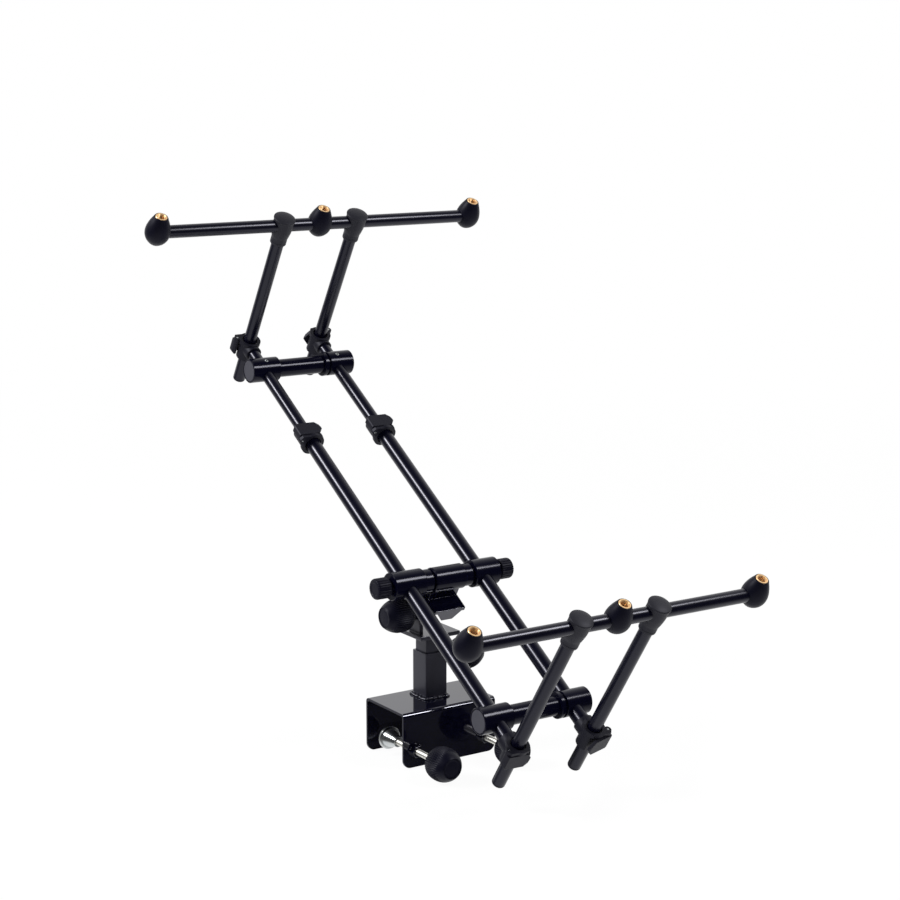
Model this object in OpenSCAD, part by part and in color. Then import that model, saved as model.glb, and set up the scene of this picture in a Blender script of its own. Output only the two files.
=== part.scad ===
// Clamp-on pod for three rods, drawn as it stands in the picture, millimetres, +Z up.
// Origin: middle of the inner top face of the bracket, where the bracket sits on a rail or a board.
// X runs along the crossbars, Y away from the person who turns the clamp screws.

/* [Bracket] */
// length of the folded channel along X
channel_l = 131; // [110:1:170]
// outside width of the channel across the jaws
channel_w = 84; // [72:1:100]
// outside height of the channel
channel_h = 67; // [58:1:80]
// sheet thickness
sheet_t = 3; // [2.5:0.1:4]
// outside radius of the two folds
fold_r = 5; // [4.5:0.1:7]
// radius of the lower corners of the flanges
flange_r = 10; // [5:0.5:14]

/* [Clamp screws] */
// thread diameter of all the hand screws
stud_d = 8; // [6:0.5:9]
// distance of each clamp screw from its end of the channel
screw_edge = 16.5; // [14:0.5:20]
// depth of the clamp screws under the seat
screw_drop = 43.5; // [40:0.5:46]
// gap left between a pressure pad and the far jaw
jaw_gap = 21; // [16:0.5:24]
// diameter of the pressure pads
pad_d = 28; // [24:0.5:32]
// thickness of the pad disc
pad_t = 4; // [3:0.1:5]
// length of the pad cone
pad_cone_l = 19; // [16:0.5:22]
// free length of screw between nut and knob
screw_free = 31; // [28:0.5:38]
// size across the flats of the welded nuts
nut_af = 13; // [12:0.1:15]
// height of the welded nuts
nut_h = 6.5; // [5:0.1:8]

/* [Hand knobs] */
// diameter of the knob over its grip
knob_d = 41; // [36:0.5:44]
// length of the knob
knob_l = 42; // [40:0.5:46]
// diameter of the round cap in the knob face
cap_d = 23; // [18:0.5:24]
// thickness of the cap
cap_t = 1.6; // [1.2:0.1:2]

/* [Post] */
// outside size of the square post
post_w = 30; // [28:0.5:36]
// wall of the square post
post_wall = 2; // [1.5:0.1:2.5]
// length of the square post
post_len = 56.5; // [53:0.5:63]
// shift of the post from the bracket middle to the right
post_dx = 3.5; // [0:0.5:6]
// shift of the post from the bracket middle towards the far jaw
post_dy = 7; // [3:0.5:12]
// wall of the sliding mast
mast_wall = 2; // [1.5:0.1:3]
// length of mast that shows above the post
mast_show = 20.5; // [19:0.5:24]
// length of mast inside the post
mast_in = 34; // [30:0.5:38]
// height of the lock screw above the bracket
lock_up = 45.5; // [41:0.5:47.5]
// leg of the weld seam round the post
weld_r = 2.6; // [2:0.1:3.2]

/* [Tilt head] */
// base plate length along X
base_x = 56; // [50:1:64]
// base plate width along Y
base_y = 48; // [40:1:52]
// base plate thickness
base_t = 5; // [4:0.1:6]
// thickness of each hinge ear
ear_t = 5; // [4:0.1:6]
// radius of the ears round the hinge bolt
ear_r = 12; // [10:0.5:13]
// height of the hinge bolt above the base plate
pivot_up = 24; // [22:0.5:30]
// outer face of the fixed ear from the middle
ear_x = 22; // [19:0.5:24]
// distance from hinge bolt to the rails
head_drop = 53.5; // [51:0.5:58]
// slope of the rails
rail_tilt = 32.1; // [25:0.1:35]
// tilt plate length along X
plate_x = 42; // [38:0.5:48]
// tilt plate length along the rails
plate_s = 66; // [56:0.5:70]
// tilt plate thickness
plate_t = 5; // [4:0.1:6]
// depth of the rib under the plate
rib_h = 12; // [8:0.5:13]
// thickness of the rib
rib_t = 5; // [4:0.1:6]

/* [Rails] */
// spacing of the two rails
rail_gap = 105; // [100:1:116]
// outside diameter of the outer rails
rail_d = 19; // [18.5:0.1:20]
// wall of the outer rails
rail_wall = 1.2; // [1:0.05:1.5]
// wall of the inner rails
inner_wall = 1.5; // [1:0.1:2]
// clearance of sliding fits
slip = 0.3; // [0.25:0.05:0.4]
// from the middle crossbar to the near crossbar
near_s = 215.5; // [200:1:230]
// from the middle crossbar to the far crossbar
far_s = 398; // [392:1:415]
// from an end crossbar to its uprights
out_s = 48; // [46:0.5:54]
// from the middle crossbar to the rail clamps
collar_s = 262; // [252:1:268]
// hidden start of the inner rails
inner_start = 130; // [120:1:140]

/* [Crossbars] */
// diameter of the end crossbar tubes
cross_d = 23; // [21:0.5:25]
// diameter of the end crossbar sleeves
sleeve_d = 31; // [29:0.5:33]
// half length of all the crossbars
cross_half = 74; // [71:0.5:80]
// inner end of the left sleeves
sleeve_in = 34; // [31:0.5:36]
// diameter of the middle crossbar body
mid_d = 30; // [28:0.5:32]
// diameter of the middle crossbar sleeves
mid_sleeve_d = 33; // [32:0.5:36]
// diameter of the crossbar spigots
spigot_d = 20; // [16:0.5:20.5]
// length of the crossbar knobs
end_knob_l = 20; // [16:0.5:24]
// diameter of the crossbar knobs
end_knob_d = 25; // [22:0.5:28]
// diameter of the plugs in the sleeve ends
plug_d = 27; // [23:0.5:27.5]
// thickness of the plugs
plug_t = 2; // [1.5:0.1:3]
// diameter of the small set screws
grub_d = 5; // [4:0.5:6]

/* [Uprights and bars] */
// diameter of the uprights
upright_d = 16; // [15:0.1:16.5]
// wall of the uprights
upright_wall = 1.5; // [1:0.1:2]
// from the rails up to the rod bars
upright_up = 193; // [180:1:210]
// from the rails down to the upright ends
upright_down = 56; // [50:0.5:58]
// diameter of the rod bars
bar_d = 16; // [15:0.1:16.5]
// wall of the rod bars
bar_wall = 1.5; // [1:0.1:2]
// from the middle to the outer bosses of the far bar
far_half = 224; // [200:1:240]
// from the middle to the outer bosses of the near bar
near_half = 192; // [170:1:210]
// sideways lean of the far uprights at their bar
far_shift = -3.5; // [-10:0.5:10]
// sideways lean of the near uprights at their bar
near_shift = 7; // [-10:0.5:10]
// diameter of the egg shaped bosses
boss_d = 31; // [29:0.5:34]
// height of the boss top above the bar
boss_up = 23.4; // [22.5:0.1:26]
// outside diameter of the brass inserts
insert_d = 14.4; // [13:0.1:14.6]
// thread diameter of the inserts
thread_d = 9.525; // [8:0.005:10]
// diameter of the T joint caps
tee_d = 27.5; // [25:0.5:30]
// diameter of the T joint collars
tee_neck_d = 20.5; // [20:0.1:22]
// depth of the T joint collars under the bar
tee_down = 26; // [22:0.5:30]

/* [Lever clamps] */
// plastic wall of the lever clamps
clamp_wall = 4; // [3.6:0.1:4.2]
// length of the clamps on the lever side of the middle
clamp_low = 16.5; // [15:0.5:18]
// length of the clamps on the ring side of the middle
clamp_high = 11; // [10.5:0.1:12]
// thickness of the ring past the lever
ring_l = 4.5; // [4:0.1:5]
// thickness of the lever
lever_t = 4; // [3.5:0.1:4.5]
// length of lever tip past the middle
lever_tip = 15.5; // [14:0.5:18]
// diameter of the lever pins
pin_d = 3; // [2.5:0.1:3.2]
// opening of the near right lever
lever_open = 13; // [0:1:20]

/* [Hidden] */
$fn = 64;
// thin gap between pieces that are fixed together
joint = 0.05;
post_z = sheet_t + post_len;
mast_w = post_w - 2 * post_wall - 2 * slip;
base_z = post_z + mast_show;
pivot_z = base_z + base_t + pivot_up;
rail_x = rail_gap / 2;
screw_x = channel_l / 2 - screw_edge;
inner_d = rail_d - 2 * rail_wall - 2 * slip;
near_up_s = -near_s - out_s;
far_up_s = far_s + out_s;
// stub ends stay clear of the upright bores
stub_end = upright_d / 2 + slip + 2.5;
up_bore = upright_d + 2 * slip;
rail_bore = rail_d + 2 * joint;
near_lean = atan(near_shift / upright_up);
far_lean = atan(far_shift / upright_up);
pad_y = channel_w / 2 - sheet_t - jaw_gap;
knob_y = -channel_w / 2 - nut_h - screw_free;
plate_top = -mid_d / 2 - 5;
tilt_ear_x = ear_x - ear_t - slip - 0.2;
rib_top = plate_top - plate_t;
lock_z = sheet_t + lock_up;
end_knob_x = cross_half + 1 + 0.6;
sleeve_mid = mid_sleeve_d / 2;
groove_w = 3;
ring_w = 5;
mid_left = -sleeve_in + 3;
lock_knob_x = post_w / 2 + nut_h + 8;
tilt_knob_x = -ear_x - 1;
// the upright levers face away from the rails
out_turn = 180;

black_paint = [0.07, 0.07, 0.09];
black_tube = [0.09, 0.09, 0.11];
soft_black = [0.17, 0.17, 0.19];
zinc = [0.82, 0.85, 0.86];
gold_brass = [0.86, 0.62, 0.25];

// frame of the square post: its axis along Z
module on_post() {
  translate([post_dx, post_dy, 0])
    children();
}

// frame of the rails: X across, Y up the slope, Z square to the rails, middle crossbar at the origin
module on_rails() {
  translate([post_dx, post_dy, pivot_z])
    rotate([rail_tilt, 0, 0])
      translate([0, 0, head_drop])
        children();
}

// cylinder along X from one end to the other
module along_x(x0, x1, d) {
  translate([x0, 0, 0])
    rotate([0, 90, 0])
      cylinder(d = d, h = x1 - x0);
}

// cylinder along Y from one end to the other
module along_y(y0, y1, d) {
  translate([0, y1, 0])
    rotate([90, 0, 0])
      cylinder(d = d, h = y1 - y0);
}

module box(x0, x1, y0, y1, z0, z1) {
  translate([x0, y0, z0])
    cube([x1 - x0, y1 - y0, z1 - z0]);
}

module hex(af, h) {
  cylinder(d = af / cos(30), h = h, $fn = 6);
}

// mushroom shaped knob on +Z, its back face at zero
module knob_shape() {
  r = knob_d / 2;
  difference() {
    rotate_extrude()
      polygon([
        [0, 0], [r * 0.42, 0], [r * 0.46, 1], [r * 0.5, 4], [r * 0.64, 5.6], [r * 0.82, 8.4],
        [r * 0.93, 12], [r * 0.985, 16], [r, 20], [r, 26], [r * 0.97, 29], [r * 0.91, 32.5], [r * 0.82, 36],
        [r * 0.71, knob_l - 2.8], [r * 0.62, knob_l - 0.6], [r * 0.6, knob_l],
        [0, knob_l]
      ]);
    translate([0, 0, -1])
      cylinder(d = stud_d + 2 * joint, h = 23 + joint);
    translate([0, 0, knob_l - cap_t - joint])
      cylinder(d = cap_d + 2 * joint, h = cap_t + 2);
  }
}

module cap_shape() {
  translate([0, 0, knob_l - cap_t])
    cylinder(d = cap_d, h = cap_t - 0.4);
}

// one flange of the channel, its outer face on the plane Y = 0, going to +Y
module flange() {
  l = channel_l / 2;
  top = sheet_t - fold_r;
  low = sheet_t - channel_h;
  box(-l, l, 0, sheet_t, low + flange_r, top);
  box(-l + flange_r, l - flange_r, 0, sheet_t, low, low + flange_r + 1);
  for (i = [-1, 1])
    translate([i * (l - flange_r), 0, low + flange_r])
      along_y(0, sheet_t, 2 * flange_r);
}

module fold() {
  l = channel_l / 2;
  intersection() {
    translate([0, fold_r, sheet_t - fold_r])
      difference() {
        along_x(-l, l, 2 * fold_r);
        along_x(-l - 1, l + 1, 2 * (fold_r - sheet_t));
      }
    box(-l - 1, l + 1, -1, fold_r, sheet_t - fold_r, sheet_t + 1);
  }
}

module channel() {
  w = channel_w / 2;
  l = channel_l / 2;
  color(black_paint)
    difference() {
      union() {
        box(-l, l, -w + fold_r, w - fold_r, 0, sheet_t);
        translate([0, -w, 0]) {
          flange();
          fold();
        }
        mirror([0, 1, 0])
          translate([0, -w, 0]) {
            flange();
            fold();
          }
      }
      for (i = [-1, 1])
        translate([i * screw_x, 0, -screw_drop])
          along_y(-w - 1, -w + sheet_t + 1, stud_d + 2 * slip);
    }
}

module post_outer() {
  a = post_w / 2;
  b = a - post_wall;
  color(black_paint)
    on_post()
      difference() {
        box(-a, a, -a, a, sheet_t, post_z);
        box(-b, b, -b, b, sheet_t - 1, post_z + 1);
        translate([0, 0, lock_z])
          along_x(b - 1, a + 1, stud_d + 2 * slip);
      }
}

// seam of weld round the foot of the post
module post_weld() {
  a = post_w / 2;
  color(black_paint)
    on_post()
      difference() {
        translate([0, 0, sheet_t])
          union() {
            for (i = [-1, 1]) {
              translate([0, i * a, 0])
                along_x(-a, a, 2 * weld_r);
              translate([i * a, 0, 0])
                along_y(-a, a, 2 * weld_r);
              for (j = [-1, 1])
                translate([i * a, j * a, 0])
                  sphere(r = weld_r, $fn = 32);
            }
          }
        box(-a, a, -a, a, -5, post_z);
        box(-50, 50, -50, 50, -5, sheet_t);
      }
}

module weld_nuts() {
  color(black_paint) {
    for (i = [-1, 1])
      translate([i * screw_x, -channel_w / 2, -screw_drop])
        rotate([90, 0, 0])
          difference() {
            hex(nut_af, nut_h);
            translate([0, 0, -1])
              cylinder(d = stud_d + 2 * slip, h = nut_h + 2);
          }
    on_post()
      translate([post_w / 2, 0, lock_z])
        rotate([0, 90, 0])
          difference() {
            hex(nut_af, nut_h);
            translate([0, 0, -1])
              cylinder(d = stud_d + 2 * slip, h = nut_h + 2);
          }
  }
}

// swivel foot: cone and disc, the disc pressed towards +Y
module clamp_pad(x) {
  tip = pad_y - pad_t - 4;
  color(zinc)
    translate([x, 0, -screw_drop])
      difference() {
        union() {
          along_y(pad_y - pad_t, pad_y, pad_d);
          translate([0, pad_y - pad_t, 0])
            rotate([90, 0, 0])
              cylinder(d1 = pad_d - 5, d2 = stud_d + 5, h = pad_cone_l);
        }
        along_y(pad_y - pad_t - pad_cone_l - 1, tip + slip, stud_d + 2 * slip);
      }
}

module clamp_screw(x) {
  color(zinc)
    translate([x, 0, -screw_drop])
      along_y(knob_y - 21, pad_y - pad_t - 4, stud_d);
}

module clamp_knob(x) {
  color(soft_black)
    translate([x, knob_y, -screw_drop])
      rotate([90, 0, 0])
        knob_shape();
}

module clamp_cap(x) {
  color(soft_black)
    translate([x, knob_y, -screw_drop])
      rotate([90, 0, 0])
        cap_shape();
}

module clamp_pad_l() { clamp_pad(-screw_x); }
module clamp_pad_r() { clamp_pad(screw_x); }
module clamp_screw_l() { clamp_screw(-screw_x); }
module clamp_screw_r() { clamp_screw(screw_x); }
module clamp_knob_l() { clamp_knob(-screw_x); }
module clamp_knob_r() { clamp_knob(screw_x); }
module clamp_cap_l() { clamp_cap(-screw_x); }
module clamp_cap_r() { clamp_cap(screw_x); }

// lock screw of the mast, on the right of the post
module post_screw() {
  color(zinc)
    on_post()
      translate([0, 0, lock_z])
        along_x(mast_w / 2 + slip, lock_knob_x + 21, stud_d);
}

module post_knob() {
  color(soft_black)
    on_post()
      translate([lock_knob_x, 0, lock_z])
        rotate([0, 90, 0])
          knob_shape();
}

module post_cap() {
  color(soft_black)
    on_post()
      translate([lock_knob_x, 0, lock_z])
        rotate([0, 90, 0])
          cap_shape();
}

module mast() {
  a = mast_w / 2;
  b = a - mast_wall;
  color(black_paint)
    on_post()
      difference() {
        box(-a, a, -a, a, post_z - mast_in, base_z);
        box(-b, b, -b, b, post_z - mast_in - 1, base_z + 1);
      }
}

// base plate with one standing ear on the left
module post_head() {
  color(black_paint)
    on_post()
      difference() {
        union() {
          box(-base_x / 2, base_x / 2, -base_y / 2, base_y / 2, base_z, base_z + base_t);
          box(-ear_x, -ear_x + ear_t, -ear_r, ear_r, base_z + base_t - 1, pivot_z);
          translate([0, 0, pivot_z])
            along_x(-ear_x, -ear_x + ear_t, 2 * ear_r);
        }
        translate([0, 0, pivot_z])
          along_x(-ear_x - 1, -ear_x + ear_t + 1, stud_d + 2 * slip);
      }
}

// plate under the middle crossbar with its saddle, rib and hinge ear
module tilt_bracket() {
  px = plate_x / 2;
  ps = plate_s / 2;
  rw = px - 4;
  color(black_paint)
    on_rails()
      difference() {
        union() {
          box(-px, px, -ps, ps, rib_top, plate_top);
          box(-px + 1, px - 1, -mid_d * 0.4, mid_d * 0.4, plate_top - 1, -mid_d * 0.3);
          translate([0, -ps + rib_t, 0])
            rotate([90, 0, 0])
              linear_extrude(height = rib_t)
                polygon([
                  [-rw, rib_top + 1], [rw, rib_top + 1], [rw, rib_top],
                  [rw * 0.45, rib_top - rib_h], [-rw * 0.45, rib_top - rib_h], [-rw, rib_top]
                ]);
          box(-tilt_ear_x, -tilt_ear_x + ear_t, -ear_r, ear_r, -head_drop, rib_top + 1);
          translate([0, 0, -head_drop])
            along_x(-tilt_ear_x, -tilt_ear_x + ear_t, 2 * ear_r);
        }
        along_x(-px - 1, px + 1, mid_d + 2 * joint);
        translate([0, 0, -head_drop])
          along_x(-tilt_ear_x - 1, -tilt_ear_x + ear_t + 1, stud_d + 2 * joint);
      }
}

module tilt_bolt() {
  color(zinc)
    on_rails()
      translate([0, 0, -head_drop]) {
        along_x(tilt_knob_x - 15, -tilt_ear_x + ear_t + 1, stud_d);
        translate([-tilt_ear_x + ear_t + joint, 0, 0])
          rotate([0, 90, 0])
            hex(nut_af, 5.3);
      }
}

// the bolt stands still, so the tilt knob has a free bore
module tilt_knob() {
  color(soft_black)
    on_rails()
      translate([tilt_knob_x, 0, -head_drop])
        rotate([0, -90, 0])
          difference() {
            knob_shape();
            translate([0, 0, -1])
              cylinder(d = stud_d + 2 * slip, h = 24);
          }
}

module tilt_cap() {
  color(soft_black)
    on_rails()
      translate([tilt_knob_x, 0, -head_drop])
        rotate([0, -90, 0])
          cap_shape();
}

// middle crossbar: body with a neck on its right
module mid_tube() {
  neck0 = sleeve_in - 8;
  end = sleeve_in + 2;
  color(black_tube)
    on_rails()
      difference() {
        union() {
          along_x(mid_left + 14, neck0, mid_d);
          along_x(neck0 - 1, end, mid_d - 3);
        }
        along_x(mid_left, end + 1, spigot_d + 2 * joint);
      }
}

module mid_sleeves() {
  in_r = sleeve_in + 5;
  bore = rail_d + 2 * slip;
  color(black_tube)
    on_rails()
      difference() {
        union() {
          along_x(-cross_half, mid_left, mid_sleeve_d);
          along_x(mid_left - 1, mid_left + 11, mid_d - 2);
          along_x(mid_left, mid_left + 24, spigot_d);
          along_x(in_r, cross_half, mid_sleeve_d);
          along_x(in_r - 18, in_r + 1, spigot_d);
        }
        for (i = [-1, 1])
          translate([i * rail_x, 0, 0])
            along_y(-mid_sleeve_d, mid_sleeve_d, bore);
        along_x(-cross_half - 1, -rail_x, stud_d + 2 * slip);
        along_x(rail_x, cross_half + 1, stud_d + 2 * slip);
      }
}

// fluted knob with its stud, on +X, drawn for the right end
module end_knob() {
  r = end_knob_d / 2;
  difference() {
    union() {
      translate([end_knob_x, 0, 0])
        rotate([0, 90, 0])
          rotate_extrude()
            polygon([
              [0, 0], [r * 0.8, 0], [r * 0.8, 2], [r, 3], [r, end_knob_l - 2],
              [r - 2, end_knob_l], [0, end_knob_l]
            ]);
      along_x(rail_x + rail_d / 2 + slip, end_knob_x + 1, stud_d);
    }
    for (a = [0 : 15 : 345])
      rotate([a, 0, 0])
        translate([0, 0, r + 0.5])
          along_x(end_knob_x + 4, end_knob_x + end_knob_l + 1, 2.2);
  }
}

module mid_knob_l() {
  color(soft_black)
    on_rails()
      mirror([1, 0, 0])
        end_knob();
}

module mid_knob_r() {
  color(soft_black)
    on_rails()
      end_knob();
}

module rails_outer() {
  s0 = near_up_s + stub_end;
  s1 = collar_s + clamp_low - 1.5;
  color(black_tube)
    on_rails()
      for (i = [-1, 1])
        translate([i * rail_x, 0, 0])
          difference() {
            along_y(s0, s1, rail_d);
            along_y(s0 - 1, s1 + 1, rail_d - 2 * rail_wall);
          }
}

module rails_inner() {
  s1 = far_up_s - stub_end;
  color(black_tube)
    on_rails()
      for (i = [-1, 1])
        translate([i * rail_x, 0, 0])
          difference() {
            along_y(inner_start, s1, inner_d);
            along_y(inner_start - 1, s1 + 1, inner_d - 2 * inner_wall);
          }
}

// centre tube of an end crossbar, pushed into both sleeves
module cross_tube() {
  difference() {
    along_x(-sleeve_in - 5, sleeve_in + 3, cross_d);
    along_x(-sleeve_in - 6, sleeve_in + 4, cross_d - 5);
  }
}

// left and right sleeves of an end crossbar, with a groove in the right one
module cross_sleeves(d) {
  in_r = sleeve_in - 2;
  difference() {
    union() {
      along_x(-cross_half, -sleeve_in, sleeve_d);
      along_x(in_r, in_r + ring_w, sleeve_d);
      along_x(in_r + 1, cross_half - 1, cross_d + 3);
      along_x(in_r + ring_w + groove_w, cross_half, sleeve_d);
    }
    for (i = [-1, 1])
      translate([i * rail_x, 0, 0])
        along_y(-sleeve_d, sleeve_d, d + 2 * joint);
    along_x(-sleeve_in - 5 - joint, -sleeve_in + 1, cross_d + 2 * joint);
    along_x(in_r - 1, sleeve_in + 3 + joint, cross_d + 2 * joint);
    for (i = [-1, 1])
      translate([i * (cross_half + 1), 0, 0])
        along_x(-plug_t - 1 - joint, plug_t + 1 + joint, plug_d + 2 * joint);
  }
}

module cross_plugs() {
  along_x(-cross_half, -cross_half + plug_t, plug_d);
  along_x(cross_half - plug_t, cross_half, plug_d);
}

module near_tube() {
  color(black_tube)
    on_rails()
      translate([0, -near_s, 0])
        cross_tube();
}

module near_sleeves() {
  color(black_tube)
    on_rails()
      translate([0, -near_s, 0])
        cross_sleeves(rail_d);
}

module near_plugs() {
  color(soft_black)
    on_rails()
      translate([0, -near_s, 0])
        cross_plugs();
}

module far_tube() {
  color(black_tube)
    on_rails()
      translate([0, far_s, 0])
        cross_tube();
}

module far_sleeves() {
  color(black_tube)
    on_rails()
      translate([0, far_s, 0])
        difference() {
          cross_sleeves(inner_d);
          for (i = [-1, 1])
            translate([i * rail_x, 0, 0])
              cylinder(d = grub_d + 2 * joint, h = sleeve_d);
        }
}

module far_plugs() {
  color(soft_black)
    on_rails()
      translate([0, far_s, 0])
        cross_plugs();
}

module far_grubs() {
  z0 = inner_d / 2 + joint;
  color(zinc)
    on_rails()
      for (i = [-1, 1])
        translate([i * rail_x, far_s, z0])
          difference() {
            cylinder(d = grub_d, h = sleeve_d / 2 - z0 - 0.4);
            translate([0, 0, sleeve_d / 2 - z0 - 3])
              hex(grub_d * 0.5, 4);
          }
}

// place of the lever pin beside a bore
function pin_x(bore) = -bore / 2 - 7;
function pin_y(bore) = bore / 2 - 1.8;

// lever clamp round a bore on Z: lever side +Y, pin at -X, ring end +Z
module clamp_ring(bore) {
  r = bore / 2 + clamp_wall;
  px = pin_x(bore);
  py = pin_y(bore);
  lug0 = clamp_high - ring_l;
  seat = bore / 2 + 1;
  front = seat + lever_t - 0.6;
  difference() {
    union() {
      translate([0, 0, -clamp_low])
        cylinder(r = r, h = clamp_low + clamp_high);
      translate([0, 0, lug0])
        cylinder(r = r + 1.7, h = ring_l);
      translate([px, py, lug0])
        cylinder(r = pin_d / 2 + 2.7, h = ring_l);
      translate([0, 0, lug0])
        linear_extrude(height = ring_l)
          polygon([
            [px + 1, py - 3.5], [px - 3.5, py + 2.2], [px - 0.6, front], [r * 0.7, front], [r + 1, r * 0.4], [0, 0]
          ]);
    }
    box(-2 * r, 2 * r, seat, 2 * r, -clamp_low - 1, lug0);
    translate([0, 0, -clamp_low - 1])
      cylinder(d = bore, h = clamp_low + clamp_high + 2);
    translate([0, 0, clamp_high - 2.5])
      cylinder(d = bore + 3, h = 5);
    translate([px, py, lug0 - 1])
      cylinder(d = pin_d + 2 * joint, h = ring_l + 2);
  }
}

module clamp_pin(bore) {
  translate([pin_x(bore), pin_y(bore), -clamp_low + 4.5])
    cylinder(d = pin_d, h = clamp_low + clamp_high - 4.5, $fn = 32);
}

// flat hand lever: wrapped round its pin, pointed at its free end, its heel small enough to swing past the ring
module clamp_lever(bore) {
  px = pin_x(bore);
  py = pin_y(bore);
  y0 = bore / 2 + 1.35;
  y1 = y0 + lever_t;
  z0 = -clamp_low + 2.7;
  z1 = clamp_high - ring_l - 0.4;
  zm = (z0 + z1) / 2;
  difference() {
    intersection() {
      translate([0, 0, z0])
        linear_extrude(height = z1 - z0)
          polygon([
            [px - 2.2, y1], [px - 3.4, y1 - 1.4], [px - 3.7, py + 1], [px - 3.3, py - 1.5], [px - 1.6, py - 3.2],
            [px + 1, py - 3.4], [px + 3, py - 1.8], [px + 3.6, y0], [lever_tip, y0], [lever_tip, y1 - 1.6],
            [lever_tip - 2.5, y1]
          ]);
      translate([0, y1 + 1, 0])
        rotate([90, 0, 0])
          linear_extrude(height = lever_t + 20)
            polygon([
              [px - 4, z0 + 3.5], [px - 0.5, z0], [lever_tip - 6.8, z0], [lever_tip, zm - 1.5],
              [lever_tip, zm + 1.5], [lever_tip - 6.8, z1], [px - 4, z1]
            ]);
    }
    translate([px, py, z0 - 1])
      cylinder(d = pin_d + 2 * slip, h = z1 - z0 + 2);
  }
}

// swings a lever open round its pin
module opened(bore, turn) {
  translate([pin_x(bore), pin_y(bore), 0])
    rotate([0, 0, turn])
      translate([-pin_x(bore), -pin_y(bore), 0])
        children();
}

// clamp body for an upright: lever ring on Z and a socket for a rail stub on +Y of its own frame
module clamp_body(stub_d) {
  reach = up_bore / 2 + clamp_wall + 5.2;
  difference() {
    union() {
      rotate([0, 0, out_turn])
        clamp_ring(up_bore);
      rotate([-90, 0, 0])
        cylinder(d = stub_d + 5, h = reach);
    }
    translate([0, 0, -clamp_low - 1])
      cylinder(d = up_bore, h = clamp_low + clamp_high + 2);
    translate([0, 0, clamp_high - 2.5])
      cylinder(d = up_bore + 3, h = 5);
    translate([0, stub_end, 0])
      rotate([-90, 0, 0])
        cylinder(d = stub_d + 2 * joint, h = reach);
  }
}

// places of the four upright clamps: children are drawn with the stub on +Y and lean with the uprights
module at_near_l() {
  on_rails()
    translate([-rail_x, near_up_s, 0])
      rotate([0, near_lean, 0])
        mirror([1, 0, 0])
          children();
}

module at_near_r() {
  on_rails()
    translate([rail_x, near_up_s, 0])
      rotate([0, near_lean, 0])
        children();
}

module at_far_l() {
  on_rails()
    translate([-rail_x, far_up_s, 0])
      rotate([0, far_lean, 0])
        rotate([0, 0, 180])
          children();
}

module at_far_r() {
  on_rails()
    translate([rail_x, far_up_s, 0])
      rotate([0, far_lean, 0])
        rotate([0, 0, 180])
          mirror([1, 0, 0])
            children();
}

// rail clamps: ring end down the slope, lever on top
module at_collar(i) {
  on_rails()
    translate([i * rail_x, collar_s, 0])
      rotate([90, 0, 0])
        children();
}

module near_clamps() {
  color(soft_black) {
    at_near_l() clamp_body(rail_d);
    at_near_r() clamp_body(rail_d);
  }
}

module near_pins() {
  color(zinc) {
    at_near_l() rotate([0, 0, out_turn]) clamp_pin(up_bore);
    at_near_r() rotate([0, 0, out_turn]) clamp_pin(up_bore);
  }
}

module near_lever_l() {
  color(soft_black)
    at_near_l() rotate([0, 0, out_turn]) clamp_lever(up_bore);
}

module near_lever_r() {
  color(soft_black)
    at_near_r() rotate([0, 0, out_turn]) opened(up_bore, lever_open) clamp_lever(up_bore);
}

module far_clamps() {
  color(soft_black) {
    at_far_l() clamp_body(inner_d);
    at_far_r() clamp_body(inner_d);
  }
}

module far_pins() {
  color(zinc) {
    at_far_l() rotate([0, 0, out_turn]) clamp_pin(up_bore);
    at_far_r() rotate([0, 0, out_turn]) clamp_pin(up_bore);
  }
}

module far_lever_l() {
  color(soft_black)
    at_far_l() rotate([0, 0, out_turn]) clamp_lever(up_bore);
}

module far_lever_r() {
  color(soft_black)
    at_far_r() rotate([0, 0, out_turn]) clamp_lever(up_bore);
}

module rail_collars() {
  color(soft_black)
    for (i = [-1, 1])
      at_collar(i) clamp_ring(rail_bore);
}

module rail_pins() {
  color(zinc)
    for (i = [-1, 1])
      at_collar(i) clamp_pin(rail_bore);
}

module rail_lever_l() {
  color(soft_black)
    at_collar(-1) clamp_lever(rail_bore);
}

module rail_lever_r() {
  color(soft_black)
    at_collar(1) clamp_lever(rail_bore);
}

module uprights(s, lean) {
  on_rails()
    for (i = [-1, 1])
      translate([i * rail_x, s, 0])
        rotate([0, lean, 0])
          translate([0, 0, -upright_down + 4])
            difference() {
              cylinder(d = upright_d, h = upright_up + upright_down - 14);
              translate([0, 0, -1])
                cylinder(d = upright_d - 2 * upright_wall, h = upright_up + upright_down);
            }
}

// rounded plugs in the lower ends of the uprights
module feet(s, lean) {
  r = upright_d / 2;
  p = r - upright_wall - joint;
  on_rails()
    for (i = [-1, 1])
      translate([i * rail_x, s, 0])
        rotate([0, lean, 0])
          translate([0, 0, -upright_down])
            rotate_extrude()
              polygon([
                [0, 0], [r * 0.6, 0], [r * 0.88, 1], [r, 2.8], [r, 4 - joint], [p, 4 - joint], [p, 14], [0, 14]
              ]);
}

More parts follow.
